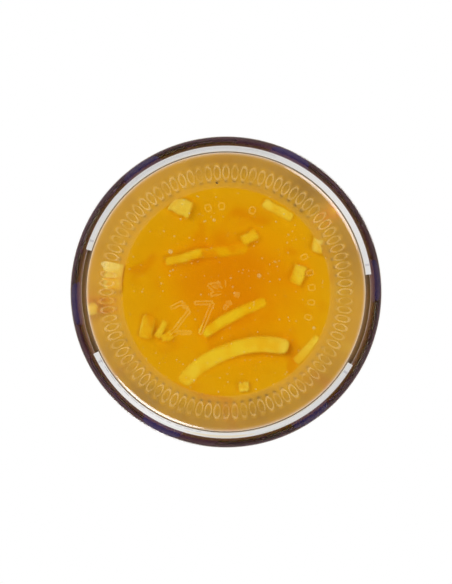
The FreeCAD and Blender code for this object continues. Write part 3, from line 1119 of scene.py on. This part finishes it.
def makeLabel(side):
    s = labelShape
    own = s[side]
    edges = (labelPrint["bottom"], labelPrint["top"])
    inside = [(wallRadius(z) + s["gap"], z) for z in edges]
    outside = [(wallRadius(z) + s["sheet"], z) for z in edges[::-1]]
    points = [Vector((r, 0, z)) * mm for r, z in inside + outside + inside[:1]]
    start = own["middle"] + own["arc"] / 2  # spin goes clockwise
    piece = spinOutline(side + "Label", points, s["steps"], own["arc"], start)
    editPiece(piece)
    bpy.ops.mesh.select_all(action="DESELECT")
    bpy.ops.mesh.select_non_manifold()
    bpy.ops.mesh.fill()
    bpy.ops.mesh.select_all(action="SELECT")
    bpy.ops.mesh.normals_make_consistent(inside=False)
    smooth(piece, 30)
    halfWidth = math.radians(own["arc"] / 2) * labelPrint["radius"]
    paper = makeLabelMaterial(side + "LabelPaper", own["middle"], halfWidth, side == "front")
    piece.data.materials.append(paper)
    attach(piece, "root")
    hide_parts(own["node"])


makeLabel("front")
makeLabel("back")
print("labels made")


studio = {
    "floorSize": 4.0, "floorDrop": 0.05 * mm, "floorColour": paint(242, 242, 242), "softLight": 0.4,
    "darkEnds": 0.02, "below": (-0.93, -0.45), "above": (0.965, 0.995),
    "mirrored": 0.45, "mirroredRise": (0.3, 0.8),
}


# seen through from below, pale from above
def makeFloor():
    letGo()
    bpy.ops.mesh.primitive_plane_add(size=studio["floorSize"], location=(0, 0, -studio["floorDrop"]))
    floor = bpy.context.object
    floor.name = "floor"
    settle(floor)
    material, nodes = newMaterial("paleFloor")
    path = nodes.add("ShaderNodeLightPath")
    faces = nodes.add("ShaderNodeNewGeometry")
    seenFromAbove = nodes.maths("SUBTRACT", path.outputs["Is Camera Ray"], faces.outputs["Backfacing"], True)
    through = nodes.add("ShaderNodeBsdfTransparent")
    pale = nodes.add("ShaderNodeBsdfDiffuse", None, Color=studio["floorColour"])
    both = nodes.add("ShaderNodeMixShader", None, i0=seenFromAbove, i1=through, i2=pale)
    nodes.add("ShaderNodeOutputMaterial", None, Surface=both)
    floor.data.materials.append(material)


# white to the camera, softer to matt skins, and dark straight up and down for what glass and lacquer gather
def makeWorld():
    world = bpy.data.worlds.new("studioAir")
    bpy.context.scene.world = world
    world.use_nodes = True
    nodes = Nodes(world.node_tree)
    s = studio
    path = nodes.add("ShaderNodeLightPath")
    way = nodes.add("ShaderNodeTexCoord").outputs["Generated"]
    up = nodes.add("ShaderNodeSeparateXYZ", None, Vector=way).outputs[2]
    low = nodes.between(up, *s["below"], s["darkEnds"], 1.0)
    high = nodes.between(up, *s["above"], 1.0, s["darkEnds"])
    level = nodes.maths("MINIMUM", low, high)
    aloft = nodes.between(up, *s["mirroredRise"], s["mirrored"], 1.0)
    glossy = nodes.maths("MULTIPLY", path.outputs["Is Glossy Ray"], aloft)
    mirrored = nodes.maths("MAXIMUM", glossy, path.outputs["Is Transmission Ray"])
    seen = nodes.maths("MULTIPLY", mirrored, level)
    shown = nodes.maths("MAXIMUM", path.outputs["Is Camera Ray"], seen)
    soft = nodes.maths("MULTIPLY", path.outputs["Is Diffuse Ray"], s["softLight"])
    strength = nodes.maths("MAXIMUM", shown, soft)
    air = nodes.add("ShaderNodeBackground", None, Strength=strength)
    air.inputs["Color"].default_value = (1, 1, 1, 1)
    nodes.add("ShaderNodeOutputWorld", None, Surface=air)


lamps = {
    "lampBelowLeft": {"place": (0.55, 0.35, -0.75), "size": 0.7, "power": 4.4},
    "lampBelowRight": {"place": (-0.6, -0.45, -0.75), "size": 0.7, "power": 3.8},
    "lampAboveFront": {"place": (0.6, -1.0, 1.1), "size": 0.9, "power": 8.8},
    "lampAboveBack": {"place": (-0.8, 0.7, 0.9), "size": 0.9, "power": 5.7},
}


# every lamp looks at the middle of the jar; those below it don't show in the glass
def makeLamps():
    middle = Vector((0, 0, 0.045))
    for name, own in lamps.items():
        letGo()
        bpy.ops.object.light_add(type="AREA", location=own["place"])
        lamp = bpy.context.object
        lamp.name = name
        lamp.data.shape = "DISK"
        lamp.data.size = own["size"]
        lamp.data.energy = own["power"]
        lamp.visible_glossy = own["place"][2] > 0
        lamp.rotation_euler = (middle - lamp.location).to_track_quat("-Z", "Y").to_euler()


cameraPlace = {"below": 1.0, "frameHeight": 0.1453, "sensor": 36}


def makeCamera():
    letGo()
    bpy.ops.object.camera_add(location=(0, 0, -cameraPlace["below"]), rotation=(0, math.pi, 0))
    camera = bpy.context.object
    camera.name = "camera"
    camera.data.sensor_width = cameraPlace["sensor"]
    camera.data.lens = cameraPlace["sensor"] * cameraPlace["below"] / cameraPlace["frameHeight"]
    bpy.context.scene.camera = camera


makeFloor()
makeWorld()
makeLamps()
makeCamera()
bpy.context.scene.view_settings.view_transform = "Standard"
print("studio made")
